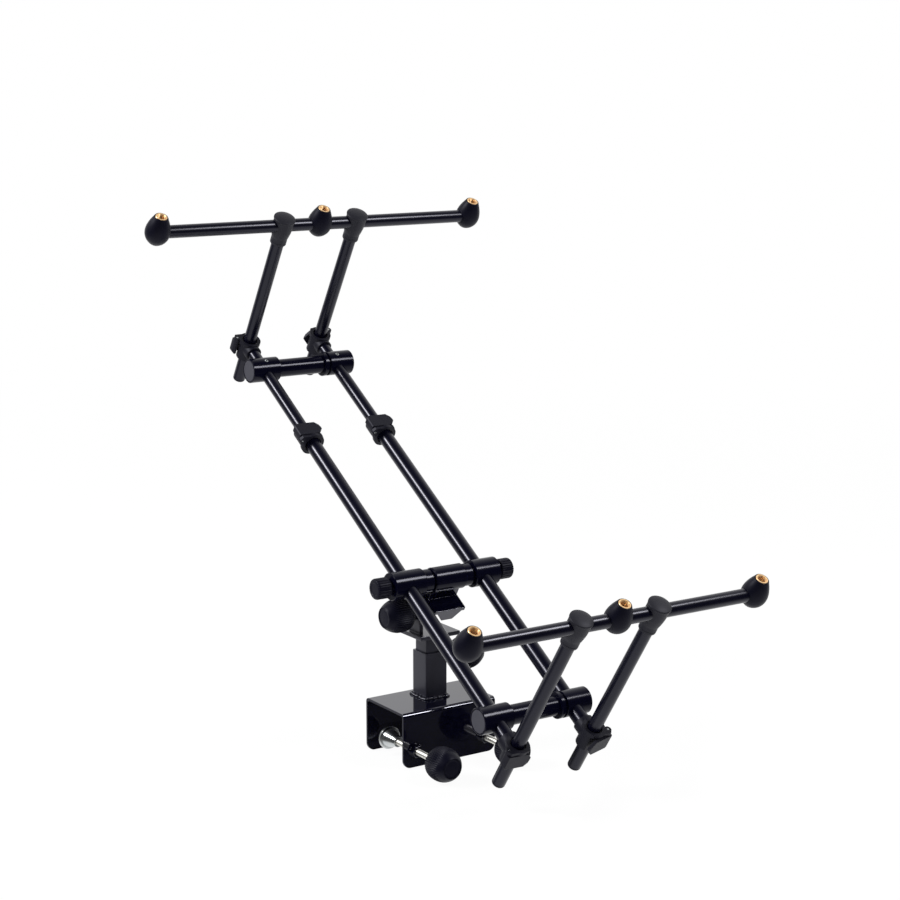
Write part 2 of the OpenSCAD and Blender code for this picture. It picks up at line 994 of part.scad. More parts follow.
// T joints: a neck that leans with the upright, a bore for the bar and a low domed cap with a crisp rim
module tees(s, lean, shift) {
  r = tee_d / 2;
  n = tee_neck_d / 2;
  on_rails()
    for (i = [-1, 1])
      translate([i * rail_x + shift, s, upright_up])
        difference() {
          rotate([0, lean, 0])
            difference() {
              rotate_extrude()
                polygon([
                  [0, -tee_down], [n, -tee_down], [n, -17], [n + 0.9, -13.5], [r - 1.3, -6], [r - 0.8, 0],
                  [r - 0.7, 9.2], [r, 9.8], [r, 11.4], [r * 0.93, 12.2], [r * 0.7, 13.2], [r * 0.4, 13.9], [0, 14.2]
                ]);
              translate([0, 0, -tee_down - 1])
                cylinder(d = upright_d + 2 * joint, h = tee_down - 8.5);
            }
          along_x(-tee_d, tee_d, bar_d + 2 * joint);
        }
}

module bar(s, half, shift) {
  on_rails()
    translate([shift, s, upright_up])
      difference() {
        along_x(-half - 7, half + 7, bar_d);
        along_x(-half - 8, half + 8, bar_d - 2 * bar_wall);
      }
}

// egg shaped bosses with a pocket for the thread insert
module bosses(s, half, shift) {
  r = boss_d / 2;
  t = insert_d / 2;
  on_rails()
    translate([shift, s, upright_up])
      difference() {
        for (x = [-half, 0, half])
          translate([x, 0, 0])
            rotate_extrude()
              polygon([
                [0, -r - 1.5], [r * 0.3, -r - 1], [r * 0.58, -r * 0.86], [r * 0.8, -r * 0.62],
                [r * 0.94, -r * 0.34], [r, 0], [r * 0.97, r * 0.32], [r * 0.88, r * 0.66],
                [r * 0.76, r], [t + 1.6, boss_up - 1.6], [t + 0.8, boss_up - 0.3], [0, boss_up - 0.3]
              ]);
        along_x(-half - 7 - joint, half + 7 + joint, bar_d + 2 * joint);
        for (x = [-half, 0, half])
          translate([x, 0, bar_d / 2 + 1])
            cylinder(r = t + joint, h = boss_up);
      }
}

module inserts(s, half, shift) {
  z0 = bar_d / 2 + 1 + joint;
  on_rails()
    for (x = [-half, 0, half])
      translate([x + shift, s, upright_up + z0])
        difference() {
          cylinder(d = insert_d, h = boss_up - z0);
          translate([0, 0, -1])
            cylinder(d = thread_d, h = boss_up + 2);
        }
}

module near_uprights() { color(black_tube) uprights(near_up_s, near_lean); }
module near_feet() { color(soft_black) feet(near_up_s, near_lean); }
module near_tees() { color(soft_black) tees(near_up_s, near_lean, near_shift); }
module near_bar() { color(black_tube) bar(near_up_s, near_half, near_shift); }
module near_bosses() { color(soft_black) bosses(near_up_s, near_half, near_shift); }
module near_inserts() { color(gold_brass) inserts(near_up_s, near_half, near_shift); }
module far_uprights() { color(black_tube) uprights(far_up_s, far_lean); }
module far_feet() { color(soft_black) feet(far_up_s, far_lean); }
module far_tees() { color(soft_black) tees(far_up_s, far_lean, far_shift); }
module far_bar() { color(black_tube) bar(far_up_s, far_half, far_shift); }
module far_bosses() { color(soft_black) bosses(far_up_s, far_half, far_shift); }
module far_inserts() { color(gold_brass) inserts(far_up_s, far_half, far_shift); }

channel();
post_outer();
post_weld();
weld_nuts();
clamp_pad_l();
clamp_screw_l();
clamp_knob_l();
clamp_cap_l();
clamp_pad_r();
clamp_screw_r();
clamp_knob_r();
clamp_cap_r();
post_screw();
post_knob();
post_cap();
mast();
post_head();
tilt_bracket();
tilt_bolt();
tilt_knob();
tilt_cap();
mid_tube();
mid_sleeves();
mid_knob_l();
mid_knob_r();
rails_outer();
near_tube();
near_sleeves();
near_plugs();
near_clamps();
near_pins();
near_lever_l();
near_lever_r();
rail_collars();
rail_pins();
rail_lever_l();
rail_lever_r();
rails_inner();
far_tube();
far_sleeves();
far_plugs();
far_grubs();
far_clamps();
far_pins();
far_lever_l();
far_lever_r();
near_uprights();
near_feet();
near_tees();
near_bar();
near_bosses();
near_inserts();
far_uprights();
far_feet();
far_tees();
far_bar();
far_bosses();
far_inserts();
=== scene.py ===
# Clamp-on pod for three rods: black tube frame on a folded steel bracket.
# Lengths are metres, in the frame of the solids: X along the crossbars, Z up.
from math import atan, cos, pi, radians, sin

import bmesh
import bpy
from mathutils import Matrix, Vector


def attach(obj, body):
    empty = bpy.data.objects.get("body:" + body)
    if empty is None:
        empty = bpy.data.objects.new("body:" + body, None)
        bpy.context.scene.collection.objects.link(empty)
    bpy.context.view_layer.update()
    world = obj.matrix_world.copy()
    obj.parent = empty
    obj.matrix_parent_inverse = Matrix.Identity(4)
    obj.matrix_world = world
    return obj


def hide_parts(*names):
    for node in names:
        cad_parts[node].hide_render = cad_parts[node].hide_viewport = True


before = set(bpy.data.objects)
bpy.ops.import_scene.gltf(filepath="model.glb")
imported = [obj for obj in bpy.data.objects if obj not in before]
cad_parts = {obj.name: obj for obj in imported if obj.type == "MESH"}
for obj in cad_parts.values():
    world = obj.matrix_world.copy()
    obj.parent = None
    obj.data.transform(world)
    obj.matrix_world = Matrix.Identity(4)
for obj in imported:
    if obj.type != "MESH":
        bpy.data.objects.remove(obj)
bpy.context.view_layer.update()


# Bracket: a channel folded from 3 mm steel sheet, open below, with two holes for the hand screws.
# It is powder coated in gloss black, which leaves a faint orange peel on the flats
# and a small rounding on every cut edge.
cool_sheen = (0.88, 0.88, 1.0, 1)


class Value:
    """One output of a shader node, so that sums and products of it read as plain maths."""

    def __init__(self, graph, socket):
        self.graph = graph
        self.socket = socket

    def maths(self, operation, first, second):
        return self.graph.node("ShaderNodeMath", {"operation": operation}, {0: first, 1: second})

    def __add__(self, other):
        return self.maths("ADD", self, other)

    def __radd__(self, other):
        return self.maths("ADD", other, self)

    def __mul__(self, other):
        return self.maths("MULTIPLY", self, other)

    def __rmul__(self, other):
        return self.maths("MULTIPLY", other, self)

    def or_more(self, other):
        return self.maths("MAXIMUM", self, other)


class Graph:
    """The nodes of a material or of the world, each added by its type, settings and sockets."""

    def __init__(self, tree):
        self.tree = tree

    def node(self, kind, settings, sockets, out=0):
        made = self.tree.nodes.new(kind)
        for label, setting in settings.items():
            setattr(made, label, setting)
        for label, amount in sockets.items():
            if isinstance(amount, Value):
                self.tree.links.new(amount.socket, made.inputs[label])
            else:
                made.inputs[label].default_value = amount
        return Value(self, made.outputs[out]) if made.outputs else None


class Finish(Graph):
    """A surface finish: constants go straight on the shader, and patterns are wired to it by name."""

    def __init__(self, name, **constants):
        self.material = bpy.data.materials.new(name)
        self.material.use_nodes = True
        super().__init__(self.material.node_tree)
        self.shader = self.tree.nodes["Principled BSDF"]
        for label, amount in constants.items():
            self.shader.inputs[label.replace("_", " ")].default_value = amount

    def spot(self, stretch=(1, 1, 1), turn=(0, 0, 0)):
        place = self.node("ShaderNodeTexCoord", {}, {}, "Object")
        sockets = {"Vector": place, "Scale": stretch, "Rotation": turn}
        return self.node("ShaderNodeMapping", {"vector_type": "TEXTURE"}, sockets)

    def noise(self, place, scale, detail):
        sockets = {"Vector": place, "Scale": scale, "Detail": detail}
        return self.node("ShaderNodeTexNoise", {}, sockets, "Fac")

    def mixed(self, share, first, second):
        sockets = {0: share, 6: (*first, 1), 7: (*second, 1)}
        return self.node("ShaderNodeMix", {"data_type": "RGBA"}, sockets, 2)

    def bump(self, height, strength, depth):
        sockets = {"Height": height, "Strength": strength, "Distance": depth}
        return self.node("ShaderNodeBump", {}, sockets)

    def wire(self, **values):
        for label, amount in values.items():
            self.tree.links.new(amount.socket, self.shader.inputs[label.replace("_", " ")])


def powder_coat(name, dark, pale, smooth, rough, peel, shine):
    """Powder coat: two close blacks in slow clouds, uneven gloss, and the orange peel as a bump."""
    coat = Finish(name, IOR=shine, Specular_Tint=cool_sheen)
    clouds = coat.noise(coat.spot(), 28, 3)
    pebble = coat.noise(coat.spot(), 420, 2)
    dust = coat.noise(coat.spot(), 2600, 1)
    coat.wire(
        Base_Color=coat.mixed(clouds, dark, pale),
        Roughness=smooth + clouds * rough + dust * 0.03,
        Normal=coat.bump(pebble, peel, 0.0004),
    )
    return coat


def merged_copy(node):
    """A copy of a solid's mesh with its loose triangles joined and its flat faces made whole."""
    shape = bmesh.new()
    shape.from_mesh(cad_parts[node].data)
    bmesh.ops.remove_doubles(shape, verts=shape.verts, dist=2e-6)
    bmesh.ops.dissolve_limit(shape, angle_limit=radians(0.4), verts=shape.verts, edges=shape.edges)
    return shape


def ease(shape, width, turn=34, rows=2, pick=None):
    """Rounds the edges that turn by more than the given angle."""
    hard = [e for e in shape.edges if e.is_manifold and e.calc_face_angle(0) > radians(turn)]
    if pick:
        hard = [e for e in hard if pick(e)]
    bmesh.ops.bevel(
        shape, geom=hard, offset=width, offset_type="OFFSET", segments=rows, profile=0.5,
        affect="EDGES", clamp_overlap=True, material=-1,
    )
    return shape


def piece(shape, name, finish, body, slot, *nodes):
    """Makes a shape into a piece that rides on a body and stands for solids; its flats stay flat."""
    for face in shape.faces:
        face.smooth = True
    mesh = bpy.data.meshes.new(name)
    shape.to_mesh(mesh)
    shape.free()
    mesh.set_sharp_from_angle(angle=radians(36))
    mesh.materials.append(finish.material)
    made = bpy.data.objects.new(name, mesh)
    bpy.context.scene.collection.objects.link(made)
    flats = made.modifiers.new("flats", "WEIGHTED_NORMAL")
    flats.keep_sharp = True
    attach(made, body)
    if nodes:
        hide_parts(*nodes)


gloss_black = powder_coat(
    "gloss_black", (0.0008, 0.0008, 0.0050), (0.0015, 0.0015, 0.0070),
    smooth=0.05, rough=0.03, peel=0.01, shine=1.72,
)
folded = ease(merged_copy("channel"), 0.0006)
piece(folded, "bracket_channel", gloss_black, "bracket", "bracket_paint", "channel")


# Post: a length of 30 mm square steel tube, cut square and welded upright on the bracket.
# Its corners are drawn with a small radius, and it has a duller black coat than the channel.
def upright_edge(edge):
    """Tells the long corners of a square tube from the edges of its cut ends."""
    run = edge.verts[1].co - edge.verts[0].co
    return abs(run.z) > 0.9 * run.length and run.length > 0.02


satin_black = powder_coat(
    "satin_black", (0.008, 0.008, 0.015), (0.011, 0.011, 0.019),
    smooth=0.24, rough=0.08, peel=0.07, shine=1.85,
)
post = ease(merged_copy("post_outer"), 0.0014, rows=3, pick=upright_edge)
ease(post, 0.0003, turn=60, rows=1)
piece(post, "post_tube", satin_black, "bracket", "bracket_paint", "post_outer")


# Weld seam: a hand run bead round the foot of the post, painted over.
# Each lump is one pause of the torch, so size and lean differ a little along the run.
bead = bmesh.new()
post_half = 0.015
post_x = 0.0035
post_y = 0.007
sheet_top = 0.003
lumps = 10
for side in range(4):
    for lump in range(lumps):
        along = -post_half + post_half * 2 * lump / (lumps - 1)
        size = 0.0036 + 0.0009 * sin(lump * 2.7 + side * 1.9)
        place = (
            Matrix.Translation((post_x, post_y, sheet_top))
            @ Matrix.Rotation(side * pi / 2, 4, "Z")
            @ Matrix.Translation((post_half + 0.0002, along, 0.0001))
            @ Matrix.Rotation(0.35 * sin(lump * 1.3 + side), 4, "Z")
            @ Matrix.Diagonal((1.0, 0.85, 0.9, 1))
        )
        bmesh.ops.create_icosphere(bead, subdivisions=2, radius=size, matrix=place)
welded = powder_coat(
    "painted_weld", (0.001, 0.001, 0.005), (0.003, 0.003, 0.008),
    smooth=0.08, rough=0.05, peel=0.10, shine=1.7,
)
piece(bead, "post_weld_bead", welded, "bracket", "bracket_paint", "post_weld")


# Weld nuts: plain hexagon nuts tacked to the near flange and to the post, under the same paint.
# Four small tacks of weld round each clamp nut catch the light.
screw_x = 0.049
screw_low = -0.0435
flange_y = -0.0424
tack_reach = 0.0077
nuts = ease(merged_copy("weld_nuts"), 0.0005)
for side in (-1, 1):
    for turn in (40, 95, 150, 275):
        spot = Vector((cos(radians(turn)), 0, sin(radians(turn)))) * tack_reach
        place = Matrix.Translation(Vector((side * screw_x, flange_y, screw_low)) + spot)
        bmesh.ops.create_icosphere(
            nuts, subdivisions=2, radius=0.0017, matrix=place @ Matrix.Diagonal((1.2, 0.8, 1, 1))
        )
piece(nuts, "weld_nut_set", welded, "bracket", "bracket_paint", "weld_nuts")


# Clamp screws: zinc plated studs with a rolled thread, one at each end of the near flange.
# The plating is bright, with the faint blue and straw tints that passivated zinc has.
def zinc_plate(name, rough, blue, straw):
    """Zinc plating: blue and straw tints in slow clouds, with a fine grain."""
    plate = Finish(name, Metallic=1.0)
    tint = plate.noise(plate.spot(), 90, 3)
    grain = plate.noise(plate.spot(), 900, 2)
    plate.wire(
        Base_Color=plate.mixed(tint, blue, straw),
        Roughness=rough + tint * 0.12 + grain * 0.08,
        Normal=plate.bump(grain, 0.12, 0.0001),
    )
    return plate


def turned(points, place, steps=72):
    """Spins a profile of radius and height in millimetres about its axis, then sets it in place."""
    shape = bmesh.new()
    line = [shape.verts.new((r / 1000, 0, z / 1000)) for r, z in points]
    runs = [shape.edges.new(pair) for pair in zip(line, line[1:])]
    bmesh.ops.spin(
        shape, geom=line + runs, cent=(0, 0, 0), axis=(0, 0, 1), angle=2 * pi, steps=steps, use_merge=True
    )
    bmesh.ops.remove_doubles(shape, verts=shape.verts, dist=1e-6)
    bmesh.ops.recalc_face_normals(shape, faces=shape.faces)
    bmesh.ops.transform(shape, matrix=place, verts=shape.verts)
    return shape


def threaded(length, crest, root, pitch, place):
    """A rod with a real helix: one turn of the thread form is spun upwards, turn after turn."""
    steps = 24
    shape = bmesh.new()
    form = [(crest, 0), (crest, 0.18), (root, 0.5), (root, 0.62), (crest, 0.94), (crest, 1)]
    line = [shape.verts.new((r / 1000, 0, h * pitch / 1000)) for r, h in form]
    runs = [shape.edges.new(pair) for pair in zip(line, line[1:])]
    turns = int(length / pitch) - 1
    bmesh.ops.spin(
        shape, geom=line + runs, cent=(0, 0, 0), axis=(0, 0, 1), dvec=(0, 0, pitch / steps / 1000),
        angle=2 * pi * turns, steps=steps * turns, use_merge=False,
    )
    bmesh.ops.remove_doubles(shape, verts=shape.verts, dist=1e-6)
    bmesh.ops.holes_fill(shape, edges=shape.edges, sides=0)
    bmesh.ops.recalc_face_normals(shape, faces=shape.faces)
    bmesh.ops.transform(shape, matrix=place, verts=shape.verts)
    return shape


def joined(*shapes):
    """Puts several shapes into one."""
    whole = bmesh.new()
    for shape in shapes:
        held = bpy.data.meshes.new("held")
        shape.to_mesh(held)
        shape.free()
        whole.from_mesh(held)
        bpy.data.meshes.remove(held)
    return whole


zinc_thread = zinc_plate("zinc_thread", 0.34, (0.80, 0.80, 0.76), (0.88, 0.86, 0.79))
to_far = Matrix.Rotation(radians(-90), 4, "X")
to_near = Matrix.Rotation(radians(90), 4, "X")
knob_y = -0.0795
stud_y = -0.100
shank_line = [(0, 0), (3.0, 0), (3.3, 0.3), (3.3, 29.7), (3.0, 30), (0, 30)]
for mark, x in (("l", -screw_x), ("r", screw_x)):
    stud = joined(
        threaded(89, 3.98, 3.80, 1.25, Matrix.Translation((x, knob_y, screw_low)) @ to_far),
        turned(shank_line, Matrix.Translation((x, stud_y, screw_low)) @ to_far),
    )
    piece(stud, "clamp_stud_" + mark, zinc_thread, "screw_" + mark, "zinc", "clamp_screw_" + mark)


# Pressure pads: turned zinc feet that swivel on the screw tips, a flat disc with a cone behind it.
# The cone is polished by the turning tool, and a dark line shows where disc and cone meet.
zinc_turned = zinc_plate("zinc_turned", 0.14, (0.46, 0.51, 0.56), (0.66, 0.66, 0.62))
pad_line = [
    (4.4, -23), (6.2, -23), (6.6, -22.4), (7.4, -18), (9.2, -11), (11.2, -5.4), (11.4, -4.6), (11.0, -4.2),
    (13.2, -4), (14, -3.4), (14, -0.7), (13.3, 0), (0, 0),
]
pad_y = 0.018
for mark, x in (("l", -screw_x), ("r", screw_x)):
    pad = turned(pad_line, Matrix.Translation((x, pad_y, screw_low)) @ to_far, 96)
    ease(pad, 0.0002, turn=50)
    piece(pad, "clamp_foot_" + mark, zinc_turned, "pad_" + mark, "zinc", "clamp_pad_" + mark)


# Hand knobs: mushroom shaped mouldings in soft-touch black, with fine ribs round the grip.
# A round cap closes the face. Left and right clamp knobs, the mast lock and the tilt lock are alike.
def soft_touch(name, dark, pale, rough, shine=1.33):
    """Moulded black plastic or rubber: close tints, a fine grain and a trace of sheen."""
    skin = Finish(name, IOR=shine, Specular_Tint=cool_sheen, Sheen_Weight=0.05, Sheen_Roughness=0.4)
    clouds = skin.noise(skin.spot(), 60, 3)
    grain = skin.noise(skin.spot(), 2400, 2)
    skin.wire(
        Base_Color=skin.mixed(clouds, dark, pale),
        Roughness=rough + clouds * 0.08 + grain * 0.10,
        Normal=skin.bump(grain, 0.22, 0.00012),
    )
    return skin


knob_line = [
    (4.2, 0), (8.3, 0), (9.0, 0.4), (9.4, 1.2), (9.8, 2.6), (10.3, 3.9), (11.6, 4.8), (13.2, 5.8),
    (15.2, 7.2), (17.0, 8.9), (18.4, 11), (19.4, 13.4), (20.0, 16), (20.4, 18.6), (20.5, 21), (20.5, 23.4),
    (20.4, 25.6), (20.0, 28), (19.3, 30.6), (18.3, 33.2), (17.0, 35.8), (15.3, 38.4), (13.9, 40.2),
    (13.0, 41.4), (12.4, 41.9), (11.9, 41.9), (11.65, 41.6), (11.6, 40.4), (0, 40.4),
]
cap_line = [
    (0, 41.5), (8.6, 41.45), (9.0, 41.3), (9.3, 41.3), (9.7, 41.5), (11, 41.5), (11.4, 41.2), (11.4, 40.5),
]


def ribbed_knob(place):
    """The knob's body, its grip raised in low ribs that fade out towards stem and face."""
    ribs = 48
    rib_depth = 0.0005
    grip_middle = 20.5
    grip_reach = 14.5
    body = turned(knob_line, Matrix.Identity(4), 8 * ribs)
    for corner in body.verts:
        high = corner.co.z * 1000
        reach = corner.co.xy.length
        fade = max(0.0, 1 - abs(high - grip_middle) / grip_reach)
        if reach > 0.013 and fade > 0:
            wave = cos(ribs * Vector((1, 0)).angle_signed(corner.co.xy, 0))
            grow = 1 - rib_depth * min(1, fade * 3) * (1 - wave) / reach
            corner.co.x *= grow
            corner.co.y *= grow
    bmesh.ops.transform(body, matrix=place, verts=body.verts)
    return body


grip_black = soft_touch("grip_black", (0.001, 0.001, 0.006), (0.002, 0.002, 0.009), 0.34, 1.24)
cap_black = soft_touch("cap_black", (0.001, 0.001, 0.006), (0.002, 0.002, 0.009), 0.30, 1.24)
for mark, x in (("l", -screw_x), ("r", screw_x)):
    place = Matrix.Translation((x, knob_y, screw_low)) @ to_near
    grip = ribbed_knob(place)
    piece(grip, "clamp_grip_" + mark, grip_black, "screw_" + mark, "soft_black", "clamp_knob_" + mark)
    disc = turned(cap_line, place)
    piece(disc, "clamp_disc_" + mark, cap_black, "screw_" + mark, "soft_black", "clamp_cap_" + mark)


# Mast lock: the same knob on a short stud, screwed into the right side of the post.
# Its stud presses on the sliding mast.
lock_high = 0.0485
to_right = Matrix.Rotation(radians(90), 4, "Y")
to_left = Matrix.Rotation(radians(-90), 4, "Y")
lock_place = Matrix.Translation((post_x + 0.0295, post_y, lock_high)) @ to_right
stud_place = Matrix.Translation((post_x + 0.0131, post_y, lock_high)) @ to_right
lock_stud = threaded(36, 3.98, 3.45, 1.25, stud_place)
piece(lock_stud, "mast_lock_stud", zinc_thread, "post_lock", "zinc", "post_screw")
piece(ribbed_knob(lock_place), "mast_lock_grip", grip_black, "post_lock", "soft_black", "post_knob")
piece(turned(cap_line, lock_place), "mast_lock_disc", cap_black, "post_lock", "soft_black", "post_cap")


# Mast: the inner square tube that slides in the post, with a welded plate and ear for the tilt head.
# Both are cut from plain steel and powder coated satin black.
mast = ease(merged_copy("mast"), 0.0019, rows=3, pick=upright_edge)
ease(mast, 0.0003, turn=60, rows=1)
piece(mast, "mast_tube", satin_black, "mast", "bracket_paint", "mast")
plate = ease(merged_copy("post_head"), 0.0007)
piece(plate, "mast_plate", satin_black, "mast", "bracket_paint", "post_head")


# Tilt head: a plate with a saddle for the middle crossbar, a rib and one ear on the hinge bolt.
# The parts of the head are welded together and painted as one.
tilt_plate = ease(merged_copy("tilt_bracket"), 0.0007)
piece(tilt_plate, "tilt_plate", gloss_black, "head", "bracket_paint", "tilt_bracket")
piece(ease(merged_copy("tilt_bolt"), 0.0004), "tilt_pin", zinc_turned, "head", "zinc", "tilt_bolt")
slope = radians(32.1)
pivot_high = 0.109
pivot = Matrix.Translation((post_x, post_y, pivot_high)) @ Matrix.Rotation(slope, 4, "X")
tilt_place = pivot @ Matrix.Translation((-0.023, 0, 0)) @ to_left
piece(ribbed_knob(tilt_place), "tilt_grip", grip_black, "tilt_lock", "soft_black", "tilt_knob")
piece(turned(cap_line, tilt_place), "tilt_disc", cap_black, "tilt_lock", "soft_black", "tilt_cap")


# Middle crossbar: a fat body between two sleeves, all turned from black anodised aluminium.
# The rails run through the sleeves, and the whole bar sits in the saddle of the tilt head.
rail_high = 0.0535
rail_half = 52.5
rail_frame = pivot @ Matrix.Translation((0, 0, rail_high))


def on_rails(across, along, square):
    """A place in the frame of the rails, in millimetres across, along and square to them."""
    return rail_frame @ Matrix.Translation((across / 1000, along / 1000, square / 1000))


def anodised(name, stretch, turn=0.0, shine=1.42, rough=0.22):
    """Black anodised tube: fine drawing lines along the tube, slow clouds and a satin gloss."""
    skin = Finish(name, IOR=shine, Specular_Tint=cool_sheen)
    lines = skin.noise(skin.spot(stretch, (turn, 0, 0)), 1500, 2)
    clouds = skin.noise(skin.spot(), 40, 3)
    skin.wire(
        Base_Color=skin.mixed(clouds, (0.0012, 0.0012, 0.0060), (0.0020, 0.0020, 0.0085)),
        Roughness=rough + lines * 0.02 + clouds * 0.05,
    )
    return skin


def drilled(shape, *cutters):
    """Cuts the other shapes out of the first one."""
    held = bpy.data.objects.new("held", bpy.data.meshes.new("held"))
    shape.to_mesh(held.data)
    shape.free()
    bpy.context.scene.collection.objects.link(held)
    drills = []
    for cutter in cutters:
        drill = bpy.data.objects.new("drill", bpy.data.meshes.new("drill"))
        cutter.to_mesh(drill.data)
        cutter.free()
        bpy.context.scene.collection.objects.link(drill)
        cut = held.modifiers.new("cut", "BOOLEAN")
        cut.operation = "DIFFERENCE"
        cut.solver = "EXACT"
        cut.object = drill
        drills.append(drill)
    left = bmesh.new()
    left.from_object(held, bpy.context.evaluated_depsgraph_get())
    for done in [held] + drills:
        bpy.data.objects.remove(done)
    return left


turned_black = anodised("turned_black", (1, 30, 30), shine=1.25, rough=0.14)
mid_body_line = [
    (10.05, -17), (13.8, -17), (15, -15.8), (15, 24.6), (13.9, 25.8), (13.5, 26), (13.5, 35.5), (13.1, 36),
    (10.05, 36), (10.05, -17),
]
mid_left_line = [
    (0, -74), (15.6, -74), (16.5, -73.1), (16.5, -31.9), (15.7, -31), (14, -31), (14, -20.7), (13.4, -20),
    (10, -20), (10, -7), (0, -7),
]
mid_right_line = [
    (0, 21), (10, 21), (10, 39), (15.7, 39), (16.5, 39.8), (16.5, 73.1), (15.6, 74), (0, 74),
]
mid_body = turned(mid_body_line, on_rails(0, 0, 0) @ to_right, 96)
piece(mid_body, "mid_body", turned_black, "head", "tube_black", "mid_tube")
rail_drill = [(0, -30), (9.8, -30), (9.8, 30), (0, 30)]
stud_drill = [(0, 0), (4.3, 0), (4.3, 30), (0, 30)]
mid_sleeves = []
for line, side, way in ((mid_left_line, -1, to_left), (mid_right_line, 1, to_right)):
    sleeve = drilled(
        turned(line, on_rails(0, 0, 0) @ to_right, 96),
        turned(rail_drill, on_rails(rail_half * side, 0, 0) @ to_far),
        turned(stud_drill, on_rails(rail_half * side, 0, 0) @ way),
    )
    mid_sleeves.append(sleeve)
piece(joined(*mid_sleeves), "mid_sleeve_pair", turned_black, "head", "tube_black", "mid_sleeves")


# Rail locks: a small fluted knob on a stud in each end of the middle crossbar.
# They are moulded in the same soft black as the hand knobs.
end_knob_line = [
    (0, 0), (9.3, 0), (10, 0.6), (10, 2.2), (10.6, 2.7), (11.9, 3.1), (12.5, 3.9), (12.5, 8), (12.5, 13),
    (12.5, 17.4), (12.1, 18.7), (11.2, 19.6), (10.2, 20), (7.6, 20), (7.1, 19.6), (0, 19.6),
]
lock_stud_line = [(0, 0), (3.6, 0), (4, 0.4), (4, 13), (0, 13)]
flutes = 24
flute_depth = 0.0007
for mark, way in (("l", to_left), ("r", to_right)):
    knob = turned(end_knob_line, Matrix.Identity(4), 10 * flutes)
    for corner in knob.verts:
        reach = corner.co.xy.length
        if reach > 0.0112 and corner.co.z > 0.0035:
            wave = cos(flutes * Vector((1, 0)).angle_signed(corner.co.xy, 0))
            grow = 1 - flute_depth * max(0, wave) ** 2 / reach
            corner.co.x *= grow
            corner.co.y *= grow
    outward = on_rails(0, 0, 0) @ way
    bmesh.ops.transform(knob, matrix=outward @ Matrix.Translation((0, 0, 0.0756)), verts=knob.verts)
    stud = turned(lock_stud_line, outward @ Matrix.Translation((0, 0, 0.0633)))
    lock = joined(knob, stud)
    piece(lock, "rail_lock_" + mark, grip_black, "mid_lock_" + mark, "soft_black", "mid_knob_" + mark)


# Rails: two pairs of drawn aluminium tubes, the inner pair sliding in the outer pair.
# The outer tubes pass through the middle crossbar, and the inner ones carry the far end.
def tube_line(length, outer, inner):
    """The closed outline of a tube's wall, with its outer edges just broken."""
    edge = outer - 0.3
    return [
        (inner, 0), (edge, 0), (outer, 0.3), (outer, length - 0.3), (edge, length), (inner, length),
        (inner, 0),
    ]


drawn_rail = anodised("drawn_rail", (1, 40, 1), slope)
outer_pair = joined(
    *[turned(tube_line(529.7, 9.5, 8.3), on_rails(x, -252.7, 0) @ to_far) for x in (-rail_half, rail_half)]
)
piece(outer_pair, "outer_rail_pair", drawn_rail, "rails", "tube_black", "rails_outer")
inner_pair = joined(
    *[turned(tube_line(305.2, 8, 6.5), on_rails(x, 130, 0) @ to_far) for x in (-rail_half, rail_half)]
)
piece(inner_pair, "inner_rail_pair", drawn_rail, "reach", "tube_black", "rails_inner")


# End crossbars: a centre tube pushed into two thicker sleeves, the right one with a turned groove.
# A flat grey plug closes each sleeve, and small set screws hold the far sleeves on the inner rails.
cross_left_line = [
    (0, -72), (13.55, -72), (13.6, -73.7), (13.9, -74), (14.9, -74), (15.5, -73.4), (15.5, -34.7),
    (14.8, -34), (0, -34),
]
cross_right_line = [
    (0, 32), (14.9, 32), (15.5, 32.6), (15.5, 36.6), (15.1, 37), (13, 37), (13, 40), (15, 40), (15.5, 40.5),
    (15.5, 73.4), (14.9, 74), (13.9, 74), (13.6, 73.7), (13.55, 72), (0, 72),
]
centre_line = tube_line(76, 11.5, 9)
grub_drill = [(0, 8), (2.6, 8), (2.6, 20), (0, 20)]
plug_line = [
    (0, 1.75), (10.4, 1.75), (11.2, 1.9), (12.4, 1.9), (13.1, 1.6), (13.45, 1.0), (13.45, 0.05), (0, 0.05),
]
plug_grey = soft_touch("plug_grey", (0.036, 0.036, 0.046), (0.043, 0.043, 0.055), 0.50)
for end, along, body in (("near", -215.5, "rails"), ("far", 398, "reach")):
    middle = on_rails(0, along, 0) @ to_right
    centre = turned(centre_line, middle @ Matrix.Translation((0, 0, -0.039)), 96)
    piece(centre, end + "_centre", turned_black, body, "tube_black", end + "_tube")
    pair = joined(turned(cross_left_line, middle, 96), turned(cross_right_line, middle, 96))
    if end == "far":
        pair = drilled(pair, *[turned(grub_drill, on_rails(x, along, 0)) for x in (-rail_half, rail_half)])
    piece(pair, end + "_sleeve_pair", turned_black, body, "tube_black", end + "_sleeves")
    plugs = joined(
        turned(plug_line, middle @ Matrix.Translation((0, 0, 0.072)), 96),
        turned(plug_line, on_rails(0, along, 0) @ to_left @ Matrix.Translation((0, 0, 0.072)), 96),
    )
    piece(plugs, end + "_plug_pair", plug_grey, body, "plug_grey", end + "_plugs")
grubs = ease(merged_copy("far_grubs"), 0.0002)
piece(grubs, "far_grub_pair", zinc_turned, "reach", "zinc", "far_grubs")


# Lever clamps: moulded nylon rings with a flat lever on a steel pin, on the rails and on the uprights.
# The upright clamps are plugged into the rail ends, and the moulding edges are all broken.
bar_high = 193
near_along = -263.5
near_shift = 7
far_along = 446
far_shift = -3.5


def leaning(across, along, shift):
    """The frame of an upright, which leans sideways so that its top is out by the given shift."""
    return on_rails(across, along, 0) @ Matrix.Rotation(atan(shift / bar_high), 4, "Y")


